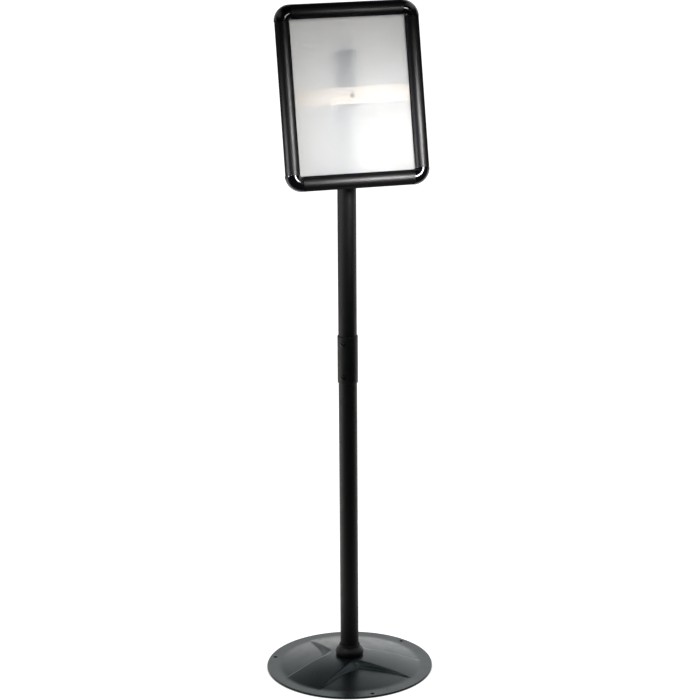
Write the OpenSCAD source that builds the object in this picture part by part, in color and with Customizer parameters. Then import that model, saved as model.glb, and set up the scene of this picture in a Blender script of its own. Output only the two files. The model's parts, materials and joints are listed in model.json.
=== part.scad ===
// Floor-standing sign stand: a pressed round base, a two-piece tube mast joined by a
// sleeve, and a tilting, turning snap frame that holds one sheet of paper.
// Millimetres, +Z up. The origin is on the floor, on the mast's axis. The sign faces -Y.

/* [Base] */
// Diameter of the pressed base
base_d = 290; // [270:1:320]
// Thickness of the base's steel
base_t = 3; // [2:0.5:3.5]
// Width of the flat ring round the edge
rim_w = 21; // [16:1:22]
// Height of the raised centre's top face
dome_h = 22.5; // [20:0.5:26]
// Diameter of the raised centre's flat top
crown_d = 54; // [50:1:58]
// How much the raised centre's slope is bowed; 1 is a straight cone
dome_bow = 1.5; // [1:0.1:2]
// Diameter of each hole in the rim
rim_hole_d = 7; // [4:0.5:8]
// Distance of the rim holes from the axis
rim_hole_at = 135.5; // [133:0.5:137]
// Turn of the pockets and rim holes about the axis, in degrees
base_turn = 1; // [0:0.5:3]

/* [Base pockets] */
// Number of pressed pockets
pockets = 3; // [3:1:3]
// Distance from the axis to a pocket's rounded point
pocket_start = 38.5; // [34:0.5:42]
// Angle between a pocket's side and its centre line
pocket_angle = 54; // [50:1:58]
// Radius of a pocket's rounded point
pocket_nose = 14; // [10:1:18]
// Depth of a pocket at the axis, below the raised centre
pocket_drop = 9.2; // [7:0.1:10]
// How much a pocket's floor is bowed; 1 is a straight cone
floor_bow = 2.3; // [1.5:0.1:3]

/* [Mast] */
// Outside diameter of both tubes
tube_d = 31.75; // [31:0.25:32]
// Wall thickness of both tubes
tube_wall = 1.5; // [1.2:0.1:2]
// Height where the two tubes meet
tube_joint_z = 564.7; // [500:0.1:600]
// Height of the mast's top
mast_top = 1102; // [1090:1:1103]
// Length of the joining sleeve
sleeve_len = 83; // [76:1:100]
// Outside diameter of the joining sleeve
sleeve_d = 35; // [34.6:0.1:37]
// Height of the two sleeve screws above and below the tubes' joint
sleeve_screw_up = 29.8; // [20:0.1:32]
// Direction that the sleeve screws face
sleeve_screw_dir = -135; // [-180:1:180]
// Height of the boot's top
boot_top = 42; // [38:1:48]
// Largest radius of the boot
boot_r = 24.4; // [22:0.1:25]

/* [Sign] */
// Width of the visible opening
open_w = 196; // [190:1:200]
// Height of the visible opening
open_h = 256; // [250:1:262]
// Face width of the frame's profile
rail_w = 25; // [25:1:25]
// Height of a rail's crown above the cover sheet
rail_crown = 10; // [9:0.5:11]
// Width of the paper that the frame holds
paper_w = 215.9; // [214:0.1:216]
// Height of the paper that the frame holds
paper_h = 279.4; // [278:0.1:280]
// Width of the crossbar behind the sheets
bar_w = 27.5; // [24:0.5:30]
// Height of the sign's centre
head_z = 1028; // [1025:1:1035]
// Distance of the sign's centre in front of the mast's axis
head_y = 39.5; // [39.5:0.5:42]
// Backward tilt of the sign at rest, in degrees
tilt = 14; // [12:0.5:14]

/* [Hidden] */
$fa = 4;
$fs = 0.6;

// Small space left between fixed pieces, and the running clearance at a pivot's radius
gap = 0.1;
running = 0.05;

// Base: slopes of the raised centre and of the pockets' floors
base_r = base_d / 2;
rim_in = base_r - rim_w;
crown_r = crown_d / 2;
pocket_end = rim_in - 2;
pocket_floor_h = dome_h - pocket_drop;
pocket_wall = base_t * 0.8;
bow_steps = 6;

// Tubes
tube_r = tube_d / 2;
bore_r = tube_r - tube_wall;
cap_flange = 2;
cap_skirt = 12;
upper_top = mast_top - cap_flange;
nut_r = bore_r - 0.7;
insert_len = 24;

// Boot: wall at its neck, height of its widest ring above the base, and its rounded edges
boot_wall = 2.3;
boot_swell = 6.5;
boot_tuck = 2.2;
boot_lip = 1.5;

// Bolt and screw sizes, radii of shanks and hexagons
m10_r = 5;
bolt_play = 0.25;
m5_r = 2.5;
m4_r = 2;
m3_r = 1.5;
m10_head_r = 9.8;
m10_head_h = 6.4;
m10_len = 25;
m10_washer_r = 15;
m10_washer_t = 2;
m5_hex_r = 4.6;
m5_head_h = 3.5;
m5_nut_h = 4;
m4_hex_r = 4;
washer_r = 5;
screw_head_r = 4.5;
screw_head_h = 2.2;
sleeve_screw_len = 9;
bracket_screw_len = 10;
slot_w = 1.2;

// Sign sheet and frame heights along the sign's normal; 0 is the cover sheet's face
cover_t = 0.5;
back_face = -0.8;
back_back = -1.8;
bar_front = back_back - gap;
bar_back = -4.2;
track_floor = -4.3;
track_back = -5.5;
rest_w = 1.2;
overlap = 0.5;
lip_z = 0.3;

// Rail profile: a circular arc across the rail's width
arc_r = (pow(rail_w / 2, 2) + pow(rail_crown, 2)) / (2 * rail_crown);
arc_s = rail_w / 2;
arc_z = rail_crown - arc_r;
rail_t = 1.4;
hinge_s = rail_w - 2.4;
hinge_z = -1;
bead_r = 1.2;
socket_r = 2.5;
corner_r = 2.5;
rail_gap = 0.3;
paper_play = 0.4;
side_stop = (paper_w - open_w) / 2 + paper_play;
end_stop = (paper_h - open_h) / 2 + paper_play;
stop_t = 1.2;
stop_z = 2.5;
web_s = 18;
web_t = 1.2;
neck_half = 0.5;
catch_t = 1;
catch_z = 4.6;
catch_h = 4;
channel_s = 13.7;
channel_w = 4;

// Head: stack behind the crossbar, and the tilt axis in the sign's own frame
washer_back = -5.2;
plate_front = -5.25;
plate_back = -7.75;
nut_front = -8.65;
nut_back = -12.6;
screw_end = -13.4;
tilt_axis_z = -17.5;
ear_r = 6.5;
ear_in = 10.5;
ear_mid = 13;
ear_gap = 0.3;
ear_out = 15.8;
washer_t = 0.8;
plate_half = 14;
friction_r = 12;
bracket_t = 2.5;
bracket_half = 26;
bracket_screw_up = 17;

// The tilt axis on the mast's side
tilt_axis_y = -head_y - tilt_axis_z * cos(tilt);
tilt_axis_h = head_z + tilt_axis_z * sin(tilt);

// ---------------------------------------------------------------- shared shapes

// A ring of inner radius a and outer radius b, from z0 to z1
module ring(a, b, z0, z1) {
    translate([0, 0, z0])
    difference() {
        cylinder(r = b, h = z1 - z0);
        translate([0, 0, -1])
        cylinder(r = a, h = z1 - z0 + 2);
    }
}

// A hexagon nut along +Z with a round hole
module hex_nut(hex_r, hole_r, h) {
    difference() {
        cylinder(r = hex_r, h = h, $fn = 6);
        translate([0, 0, -1])
        cylinder(r = hole_r, h = h + 2);
    }
}

// A slotted pan-head screw along -Z, its head standing on z = 0
module slotted_screw(shank_r, len, head_r, head_h, turn) {
    difference() {
        union() {
            translate([0, 0, -len])
            cylinder(r = shank_r, h = len + 0.5);
            cylinder(r1 = head_r, r2 = head_r * 0.82, h = head_h);
        }
        rotate([0, 0, turn])
        translate([-head_r, -slot_w / 2, head_h / 2])
        cube([2 * head_r, slot_w, head_h]);
    }
}

// Puts a part drawn along +Z at the surface radius r of the mast, facing direction dir
module on_mast(r, z, dir) {
    translate([0, 0, z])
    rotate([0, 0, dir])
    translate([r, 0, 0])
    rotate([0, 90, 0])
    children();
}

// Sign frame to model frame: x right, y up the sign, z towards the viewer
module on_sign() {
    translate([0, -head_y, head_z])
    rotate([90 - tilt, 0, 0])
    children();
}

// Extrudes a section (x = outward from the opening's edge, y = normal) along one side
module along_side(turn, reach, len) {
    rotate([0, 0, turn])
    translate([reach, len / 2, 0])
    rotate([90, 0, 0])
    linear_extrude(len)
    children();
}

// The two sides along the sign's height and the two along its width
module on_upright(turn) { along_side(turn, open_w / 2, open_h - 2 * corner_r) children(); }
module on_level(turn) { along_side(turn, open_h / 2, open_w - 2 * corner_r) children(); }
module on_upright_rail(turn) {
    along_side(turn, open_w / 2, open_h - 2 * corner_r - 2 * rail_gap) children();
}
module on_level_rail(turn) {
    along_side(turn, open_h / 2, open_w - 2 * corner_r - 2 * rail_gap) children();
}

// ---------------------------------------------------------------- base and mast

// Points down a bowed slope: height top at radius r0, the rim's height at radius r1
function bowed(r0, r1, top, bow) = [for (i = [bow_steps : -1 : 0])
    [r0 + (r1 - r0) * i / bow_steps, top - (top - base_t) * pow(i / bow_steps, bow)]];

// Solid below a slope and the flat rim, lowered by drop
module below(slope, drop) {
    rotate_extrude()
    polygon([for (p = concat([[0, drop - 1], [base_r, drop - 1], [base_r, base_t]], slope))
        [p[0], p[1] - drop]]);
}

// The raised centre, and the pockets' shallower floor
module dome_body(drop) {
    below(concat(bowed(crown_r, rim_in, dome_h, dome_bow), [[0, dome_h]]), drop);
}
module floor_body(drop) {
    below(bowed(0, pocket_end, pocket_floor_h, floor_bow), drop);
}

// Plan of the pockets, widened on every side by grow: two straight sides and a round point
module pocket_plan(grow) {
    steps = 8;
    nose_x = pocket_start + pocket_nose;
    r = pocket_nose + grow;
    turn = 180 - 2 * pocket_angle;
    nose = [for (i = [0 : steps]) 90 + pocket_angle + turn * i / steps];
    reach = 2 * base_r * [cos(pocket_angle), sin(pocket_angle)];
    points = [for (a = nose) [nose_x + r * cos(a), r * sin(a)]];
    far = points[0] + reach;
    for (i = [0 : pockets - 1])
    rotate([0, 0, base_turn - 90 + i * 360 / pockets])
    polygon(concat([far], points, [[far[0], -far[1]]]));
}

// Raised centre with the pockets pressed in
module pressed(drop, grow) {
    intersection() {
        union() {
            floor_body(drop);
            difference() {
                dome_body(drop);
                linear_extrude(2 * dome_h)
                pocket_plan(grow);
            }
        }
        cylinder(r = base_r, h = 2 * dome_h);
    }
}

module base_plate() {
    color([0.2, 0.21, 0.22])
    difference() {
        pressed(0, 0);
        pressed(base_t, pocket_wall);
        translate([0, 0, -1])
        cylinder(r = m10_r + bolt_play, h = 2 * dome_h);
        for (i = [0 : pockets - 1])
        rotate([0, 0, base_turn - 90 + i * 360 / pockets])
        translate([rim_hole_at, 0, -1])
        cylinder(d = rim_hole_d, h = 2 * base_t);
    }
}

module base_washer() {
    color("silver")
    ring(m10_r + running, m10_washer_r, dome_h - base_t - m10_washer_t, dome_h - base_t - gap);
}

module base_bolt() {
    head_top = dome_h - base_t - m10_washer_t - gap;
    color("silver")
    translate([0, 0, head_top]) {
        translate([0, 0, -m10_head_h])
        cylinder(r = m10_head_r, h = m10_head_h, $fn = 6);
        translate([0, 0, -1])
        cylinder(r = m10_r, h = m10_len + 1);
    }
}

module foot_insert() {
    color("gray")
    ring(m10_r + running, bore_r - running, dome_h + gap, dome_h + insert_len);
}

// Boot: a bell that swells from the tube to boot_r and tucks in at the base
module base_boot() {
    neck_r = tube_r + boot_wall;
    neck_z = boot_top - boot_lip;
    swell_z = dome_h + boot_swell;
    bell = [for (i = [0 : 12]) [neck_r + (boot_r - neck_r) * (1 - cos(15 * i)) / 2,
        neck_z - (neck_z - swell_z) * i / 12]];
    tuck = [for (i = [1 : 6]) [boot_r - boot_tuck * (1 - cos(15 * i)),
        swell_z - (swell_z - dome_h - gap) * sin(15 * i)]];
    color([0.03, 0.03, 0.03])
    rotate_extrude()
    polygon(concat([[tube_r + gap, boot_top], [neck_r - overlap, boot_top]], bell, tuck,
        [[tube_r + gap, dome_h + gap]]));
}

module lower_tube() {
    color([0.06, 0.065, 0.065])
    difference() {
        ring(bore_r, tube_r, dome_h + gap, tube_joint_z - gap);
        on_mast(0, tube_joint_z - sleeve_screw_up, sleeve_screw_dir)
        cylinder(r = m5_r + running, h = tube_d);
    }
}

module upper_tube() {
    color([0.06, 0.065, 0.065])
    difference() {
        ring(bore_r, tube_r, tube_joint_z + gap, upper_top);
        on_mast(0, tube_joint_z + sleeve_screw_up, sleeve_screw_dir)
        cylinder(r = m5_r + running, h = tube_d);
        for (up = [-1, 1])
        on_mast(0, tilt_axis_h + up * bracket_screw_up, -90)
        cylinder(r = m5_r + running, h = tube_d);
    }
}

module coupling_sleeve() {
    color([0.05, 0.05, 0.055])
    difference() {
        translate([0, 0, tube_joint_z])
        ring(tube_r + gap, sleeve_d / 2, -sleeve_len / 2, sleeve_len / 2);
        for (up = [-1, 1])
        on_mast(0, tube_joint_z + up * sleeve_screw_up, sleeve_screw_dir)
        cylinder(r = m5_r + running, h = tube_d);
    }
}

module sleeve_screws() {
    color("dimgray")
    for (up = [-1, 1])
    on_mast(sleeve_d / 2, tube_joint_z + up * sleeve_screw_up, sleeve_screw_dir)
    slotted_screw(m5_r, sleeve_screw_len, screw_head_r, screw_head_h, 45);
}

module sleeve_nuts() {
    color("silver")
    for (up = [-1, 1])
    on_mast(nut_r - m5_nut_h, tube_joint_z + up * sleeve_screw_up, sleeve_screw_dir)
    hex_nut(m5_hex_r, m5_r + running, m5_nut_h);
}

module tube_cap() {
    color([0.05, 0.05, 0.05]) {
        translate([0, 0, upper_top])
        cylinder(r1 = tube_r, r2 = tube_r - cap_flange / 2, h = cap_flange);
        ring(bore_r - cap_flange, bore_r - running, upper_top - cap_skirt, upper_top + 1);
    }
}

// ---------------------------------------------------------------- tilt head

module head_bracket() {
    front = -tube_r - bracket_t;
    color([0.08, 0.08, 0.08])
    difference() {
        union() {
            translate([-ear_mid, front, tilt_axis_h - bracket_half])
            cube([2 * ear_mid, bracket_t - running, 2 * bracket_half]);
            for (side = [-1, 1])
            translate([side > 0 ? ear_in : -ear_mid, 0, 0]) {
                translate([0, tilt_axis_y, tilt_axis_h - ear_r])
                cube([ear_mid - ear_in, front - tilt_axis_y + 1, 2 * ear_r]);
                translate([0, tilt_axis_y, tilt_axis_h])
                rotate([0, 90, 0])
                cylinder(r = ear_r, h = ear_mid - ear_in);
            }
        }
        translate([-tube_d, tilt_axis_y, tilt_axis_h])
        rotate([0, 90, 0])
        cylinder(r = m5_r + running, h = 2 * tube_d);
        for (up = [-1, 1])
        on_mast(0, tilt_axis_h + up * bracket_screw_up, -90)
        cylinder(r = m5_r + running, h = tube_d);
    }
}

module bracket_screws() {
    color("dimgray")
    for (up = [-1, 1])
    on_mast(tube_r + bracket_t + running, tilt_axis_h + up * bracket_screw_up, -90)
    slotted_screw(m5_r, bracket_screw_len, screw_head_r - rail_gap, screw_head_h, 20 * up);
}

module bracket_nuts() {
    color("silver")
    for (up = [-1, 1])
    on_mast(nut_r - m5_nut_h, tilt_axis_h + up * bracket_screw_up, -90)
    hex_nut(m5_hex_r, m5_r + running, m5_nut_h);
}

module tilt_bolt() {
    head_x = ear_out + washer_t + gap;
    color("silver")
    translate([0, tilt_axis_y, tilt_axis_h])
    rotate([0, 90, 0]) {
        translate([0, 0, -head_x - m5_head_h])
        cylinder(r = m5_hex_r, h = m5_head_h, $fn = 6);
        translate([0, 0, -head_x - 1])
        cylinder(r = m5_r, h = 2 * head_x + 1 + m5_nut_h + 2);
    }
}

module tilt_nut() {
    color("silver")
    translate([ear_out + washer_t + gap, tilt_axis_y, tilt_axis_h])
    rotate([0, 90, 0])
    hex_nut(m5_hex_r, m5_r + running, m5_nut_h + overlap);
}

module tilt_washers() {
    color("silver")
    for (side = [-1, 1])
    translate([side * (ear_out + (washer_t + gap) / 2), tilt_axis_y, tilt_axis_h])
    rotate([0, 90, 0])
    ring(m5_r + running, washer_r, -washer_t / 2, washer_t / 2);
}

module tilt_plate() {
    color([0.1, 0.1, 0.1])
    on_sign()
    difference() {
        union() {
            translate([-ear_out, -plate_half, plate_back])
            cube([2 * ear_out, 2 * plate_half, plate_front - plate_back]);
            for (side = [-1, 1])
            translate([side > 0 ? ear_mid + ear_gap : -ear_out, 0, 0]) {
                translate([0, -ear_r, tilt_axis_z])
                cube([ear_out - ear_mid - ear_gap, 2 * ear_r, plate_back - tilt_axis_z + 1]);
                translate([0, 0, tilt_axis_z])
                rotate([0, 90, 0])
                cylinder(r = ear_r, h = ear_out - ear_mid - ear_gap);
            }
        }
        translate([0, 0, plate_back - 1])
        cylinder(r = m4_r + running, h = 6);
        translate([-tube_d, 0, tilt_axis_z])
        rotate([0, 90, 0])
        cylinder(r = m5_r + running, h = 2 * tube_d);
    }
}

module friction_washer() {
    color("white")
    on_sign()
    ring(m4_r + running, friction_r, washer_back, bar_back - running);
}

module pivot_screw() {
    recess_w = 0.8;
    color("gray")
    on_sign()
    difference() {
        union() {
            translate([0, 0, screw_end])
            cylinder(r = m4_r, h = bar_front - gap - screw_end);
            translate([0, 0, bar_front - gap - pivot_sink])
            cylinder(r1 = m4_r, r2 = m4_r + pivot_sink, h = pivot_sink);
        }
        for (turn = [0, 90])
        rotate([0, 0, turn])
        translate([-m4_r, -recess_w / 2, bar_front - gap - pivot_sink / 2])
        cube([2 * m4_r, recess_w, pivot_sink]);
    }
}

module pivot_washer() {
    color("silver")
    on_sign()
    ring(m4_r + running, washer_r, nut_front + running, plate_back - running);
}

module pivot_nut() {
    color("silver")
    on_sign()
    translate([0, 0, nut_back])
    hex_nut(m4_hex_r, m4_r + running, nut_front - nut_back);
}

// ---------------------------------------------------------------- sign frame

bar_screw_x = open_w / 2 + 5.5;
pivot_sink = 1.6;

module crossbar() {
    half = open_w / 2 + side_stop - rail_gap;
    seat = pivot_sink + running;
    color([0.93, 0.9, 0.84])
    on_sign()
    difference() {
        translate([-half, -bar_w / 2, bar_back])
        cube([2 * half, bar_w, bar_front - bar_back]);
        translate([0, 0, bar_back - 1])
        cylinder(r = m4_r + running, h = 4);
        translate([0, 0, bar_front - gap - seat])
        cylinder(r1 = m4_r + running, r2 = m4_r + seat + rail_gap, h = seat + rail_gap);
        for (side = [-1, 1])
        translate([side * bar_screw_x, 0, bar_back - 1])
        cylinder(r = m3_r + running, h = 4);
    }
}

module crossbar_screws() {
    color("gray")
    on_sign()
    for (side = [-1, 1])
    translate([side * bar_screw_x, 0, track_back - running])
    rotate([180, 0, 0])
    slotted_screw(m3_r, 3, 2.8, 1.6, 30);
}

// Lower extrusion: floor, sheet rest, sheet stop and hinge bead
module track_section(stop) {
    translate([0, track_back])
    square([hinge_s + bead_r / 3, track_floor - track_back]);
    translate([0, track_floor - overlap])
    square([rest_w, bar_front - track_floor + overlap]);
    translate([stop, track_floor - overlap])
    square([stop_t, stop_z - track_floor + overlap]);
    translate([web_s, track_floor - overlap])
    square([web_t, hinge_z + neck_half - track_floor + overlap]);
    translate([web_s + overlap, hinge_z - neck_half])
    square([hinge_s - web_s - overlap, 2 * neck_half]);
    translate([hinge_s, hinge_z])
    circle(r = bead_r);
}

// Notch for the crossbar's end and its screw, at the middle of an upright track
module bar_seat(side) {
    translate([side * (open_w / 2 - 1), -bar_w / 2 - gap, track_floor])
    mirror([side < 0 ? 1 : 0, 0, 0])
    cube([side_stop + 0.9, bar_w + 2 * gap, bar_front - track_floor + 2]);
    translate([side * bar_screw_x, 0, track_back - 1])
    cylinder(r = m3_r + running, h = 3);
}

module upright_track(side) {
    color([0.16, 0.16, 0.17])
    on_sign()
    difference() {
        on_upright(side > 0 ? 0 : 180) track_section(side_stop);
        bar_seat(side);
    }
}

module level_track(side) {
    color([0.16, 0.16, 0.17])
    on_sign()
    on_level(side > 0 ? 90 : -90) track_section(end_stop);
}

module track_left() { upright_track(-1); }
module track_right() { upright_track(1); }
module track_top() { level_track(1); }
module track_bottom() { level_track(-1); }

// A point at angle a and distance r from the hinge
function from_hinge(a, r) = [hinge_s + r * cos(a), hinge_z + r * sin(a)];

// Snap rail: a convex shell with a catch rib and a socket that turns on the track's bead.
// The socket's mouth spans the angles that the bead's neck needs over 90 degrees.
module rail_section() {
    mouth = [148, 186, 225, 264, 302];
    difference() {
        union() {
            difference() {
                translate([arc_s, arc_z])
                circle(r = arc_r);
                translate([arc_s, arc_z])
                circle(r = arc_r - rail_t);
                translate([-1, -2 * rail_w + lip_z])
                square([arc_s + 1, 2 * rail_w]);
                translate([0, -2 * rail_w + hinge_z])
                square([2 * rail_w, 2 * rail_w]);
            }
            translate([hinge_s, hinge_z])
            circle(r = socket_r);
            translate([channel_s + (channel_w - catch_t) / 2, catch_z])
            square([catch_t, catch_h]);
        }
        translate([hinge_s, hinge_z])
        circle(r = bead_r + running);
        polygon(concat([[hinge_s, hinge_z]], [for (a = mouth) from_hinge(a, 2 * socket_r)]));
    }
}

module rail_finish() {
    color([0.04, 0.04, 0.045])
    on_sign()
    children();
}

module snap_rail_left() { rail_finish() on_upright_rail(180) rail_section(); }
module snap_rail_right() { rail_finish() on_upright_rail(0) rail_section(); }
module snap_rail_top() { rail_finish() on_level_rail(90) rail_section(); }
module snap_rail_bottom() { rail_finish() on_level_rail(-90) rail_section(); }

// Corner: the rail's outer curve swept a quarter turn, with a floor and a slot for the sheets
module cap_section() {
    proud = 0.25;
    shell = 2;
    skirt = -3;
    wall_s = 22;
    difference() {
        translate([arc_s, arc_z])
        circle(r = arc_r + proud);
        translate([arc_s, arc_z])
        circle(r = arc_r + proud - shell);
        translate([-2, -2 * rail_w + lip_z])
        square([arc_s + 2, 2 * rail_w]);
        translate([0, -2 * rail_w + skirt])
        square([2 * rail_w, 2 * rail_w]);
    }
    translate([wall_s, track_back])
    square([shell, skirt - track_back + overlap]);
    translate([0, track_back])
    square([wall_s + overlap, track_floor - gap - track_back]);
    translate([0, track_back + overlap])
    square([rest_w, bar_front - track_back - overlap]);
}

// Puts a quarter turn at one corner; side and up are the corner's signs
module at_corner(side, up) {
    mirror([side < 0 ? 1 : 0, 0, 0])
    mirror([0, up < 0 ? 1 : 0, 0])
    translate([open_w / 2 - corner_r, open_h / 2 - corner_r, 0])
    children();
}

module corner_cap(side, up) {
    color([0.02, 0.02, 0.03])
    on_sign()
    at_corner(side, up)
    intersection() {
        rotate_extrude()
        translate([corner_r, 0])
        cap_section();
        translate([running, running, -2 * rail_w])
        cube([2 * rail_w, 2 * rail_w, 4 * rail_w]);
    }
}

module corner_cap_top_left() { corner_cap(-1, 1); }
module corner_cap_top_right() { corner_cap(1, 1); }
module corner_cap_bottom_left() { corner_cap(-1, -1); }
module corner_cap_bottom_right() { corner_cap(1, -1); }

// Steel keys that join the tracks through the corner caps
module corner_keys() {
    key_in = channel_s + corner_r;
    key_out = key_in + channel_w;
    key_t = 2;
    arm = 28;
    low = track_floor + gap;
    color("silver")
    on_sign()
    for (side = [-1, 1], up = [-1, 1])
    at_corner(side, up)
    union() {
        intersection() {
            ring(key_in, key_out, low, low + key_t);
            translate([-0.5, -0.5, low - 1])
            cube([key_out + 1, key_out + 1, 2 * key_t]);
        }
        translate([key_in, -arm, low])
        cube([key_out - key_in, arm, key_t]);
        translate([-arm, key_in, low])
        cube([arm, key_out - key_in, key_t]);
    }
}

// Spring arches that hold the rails shut or open, two to a side
module spring_section() {
    r = channel_w / 2;
    strip = 0.5;
    top = catch_z - rail_gap;
    difference() {
        union() {
            translate([channel_s + r, top - r])
            circle(r = r);
            translate([channel_s, track_floor + gap])
            square([channel_w, top - r - track_floor - gap]);
        }
        translate([channel_s + r, top - r])
        circle(r = r - strip);
        translate([channel_s + strip, track_floor - 1])
        square([channel_w - 2 * strip, top - r - track_floor + 1]);
    }
}

module rail_springs() {
    spring_len = 10;
    color("lightsteelblue")
    on_sign()
    for (place = [-1, 1]) {
        for (turn = [0, 180])
        translate([0, place * open_h / 4, 0])
        along_side(turn, open_w / 2, spring_len) spring_section();
        for (turn = [90, -90])
        translate([place * open_w / 4, 0, 0])
        along_side(turn, open_h / 2, spring_len) spring_section();
    }
}

// A sheet of the paper's size between two heights
module sheet(z0, z1) {
    on_sign()
    translate([-paper_w / 2, -paper_h / 2, z0])
    cube([paper_w, paper_h, z1 - z0]);
}

module cover_sheet() { color([0.9, 0.92, 0.95, 0.4]) sheet(-cover_t, 0); }
module back_sheet() { color([0.9, 0.9, 0.92, 0.5]) sheet(back_back, back_face); }

base_plate();
base_bolt();
base_washer();
foot_insert();
base_boot();
lower_tube();
coupling_sleeve();
sleeve_screws();
sleeve_nuts();
upper_tube();
tube_cap();
head_bracket();
bracket_screws();
bracket_nuts();
tilt_bolt();
tilt_washers();
tilt_nut();
tilt_plate();
friction_washer();
crossbar();
crossbar_screws();
pivot_screw();
pivot_washer();
pivot_nut();
track_left();
track_right();
track_top();
track_bottom();
snap_rail_left();
snap_rail_right();
snap_rail_top();
snap_rail_bottom();
corner_cap_top_left();
corner_cap_top_right();
corner_cap_bottom_left();
corner_cap_bottom_right();
corner_keys();
rail_springs();
cover_sheet();
back_sheet();
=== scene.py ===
"""Sign stand: the visual model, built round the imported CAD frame.

Drawing helpers work in millimetres; publish() scales each piece to metres, in the frame's axes."""

import json
import math

import bmesh
import bpy
import numpy as np
from mathutils import Matrix, Vector

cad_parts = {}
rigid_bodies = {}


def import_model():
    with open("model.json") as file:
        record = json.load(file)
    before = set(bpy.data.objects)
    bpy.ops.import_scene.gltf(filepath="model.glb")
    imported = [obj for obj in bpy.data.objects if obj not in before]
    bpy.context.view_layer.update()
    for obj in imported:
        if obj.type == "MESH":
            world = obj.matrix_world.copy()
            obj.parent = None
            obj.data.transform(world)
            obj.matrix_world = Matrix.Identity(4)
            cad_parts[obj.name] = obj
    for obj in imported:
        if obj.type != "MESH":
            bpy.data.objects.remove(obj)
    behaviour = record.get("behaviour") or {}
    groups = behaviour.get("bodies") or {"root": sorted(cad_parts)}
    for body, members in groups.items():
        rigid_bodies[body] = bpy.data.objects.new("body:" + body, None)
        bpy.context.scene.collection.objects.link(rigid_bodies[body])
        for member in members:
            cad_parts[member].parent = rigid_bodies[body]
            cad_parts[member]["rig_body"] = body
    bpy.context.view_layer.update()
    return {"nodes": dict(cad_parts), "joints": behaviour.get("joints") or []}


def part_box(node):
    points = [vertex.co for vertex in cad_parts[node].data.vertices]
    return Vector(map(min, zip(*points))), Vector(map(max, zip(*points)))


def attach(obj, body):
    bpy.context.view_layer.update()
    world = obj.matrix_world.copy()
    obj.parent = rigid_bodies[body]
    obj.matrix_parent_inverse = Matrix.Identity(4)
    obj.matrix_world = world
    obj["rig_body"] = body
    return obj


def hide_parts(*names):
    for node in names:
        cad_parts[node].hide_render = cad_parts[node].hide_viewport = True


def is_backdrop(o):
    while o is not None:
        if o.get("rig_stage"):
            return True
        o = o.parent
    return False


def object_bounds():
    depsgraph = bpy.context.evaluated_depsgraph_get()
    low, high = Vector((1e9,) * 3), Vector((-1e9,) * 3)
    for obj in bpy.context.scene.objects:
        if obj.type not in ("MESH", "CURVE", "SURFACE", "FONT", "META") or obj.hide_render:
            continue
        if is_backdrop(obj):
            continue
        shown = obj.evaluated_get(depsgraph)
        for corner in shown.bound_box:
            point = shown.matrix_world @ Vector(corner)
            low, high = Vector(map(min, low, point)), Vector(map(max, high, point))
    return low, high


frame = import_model()
NODES = frame["nodes"]
JOINTS = {j["name"]: j for j in frame["joints"]}
MM = 0.001
LOOK = ".look"  # ending of each visual piece's name
COVER_T = 0.5  # thickness of the cover sheet


# ---------------------------------------------------------------- places

def sign_matrix():
    """Takes the sign's own axes to the frame's, in metres.

    The sign's are x right, y up the sign and z towards the viewer, in millimetres, with 0 at the
    middle of the cover sheet's face."""
    normal = Vector(JOINTS["sign_turn"]["axis"]).normalized()
    up = Vector(JOINTS["rail_right_hinge"]["axis"]).normalized()
    right = up.cross(normal)
    lo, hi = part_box("cover_sheet")
    origin = (lo + hi) / 2 + normal * COVER_T / 2 * MM
    turn = Matrix((right, up, normal)).transposed().to_4x4()
    return Matrix.Translation(origin) @ turn @ Matrix.Scale(MM, 4)


MAST = Matrix.Scale(MM, 4)
SIGN = sign_matrix()


def extent(node, place=MAST):
    """Lowest and highest corner of a CAD node, in millimetres, along the axes of place."""
    back = place.inverted()
    points = np.array([back @ v.co for v in NODES[node].data.vertices])
    return Vector(points.min(0)), Vector(points.max(0))


def turned(degrees, axis):
    return Matrix.Rotation(math.radians(degrees), 4, axis)


def shifted(x, y, z):
    return Matrix.Translation((x, y, z))


def on_mast(radius, z, degrees):
    """Puts +Z outwards at the given radius from the mast's axis, facing that direction."""
    return shifted(0, 0, z) @ turned(degrees, "Z") @ shifted(radius, 0, 0) @ turned(90, "Y")


# ---------------------------------------------------------------- outlines

HALF_WAY = 0.46  # furthest that a rounded corner reaches along an edge, as a share of it


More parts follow.
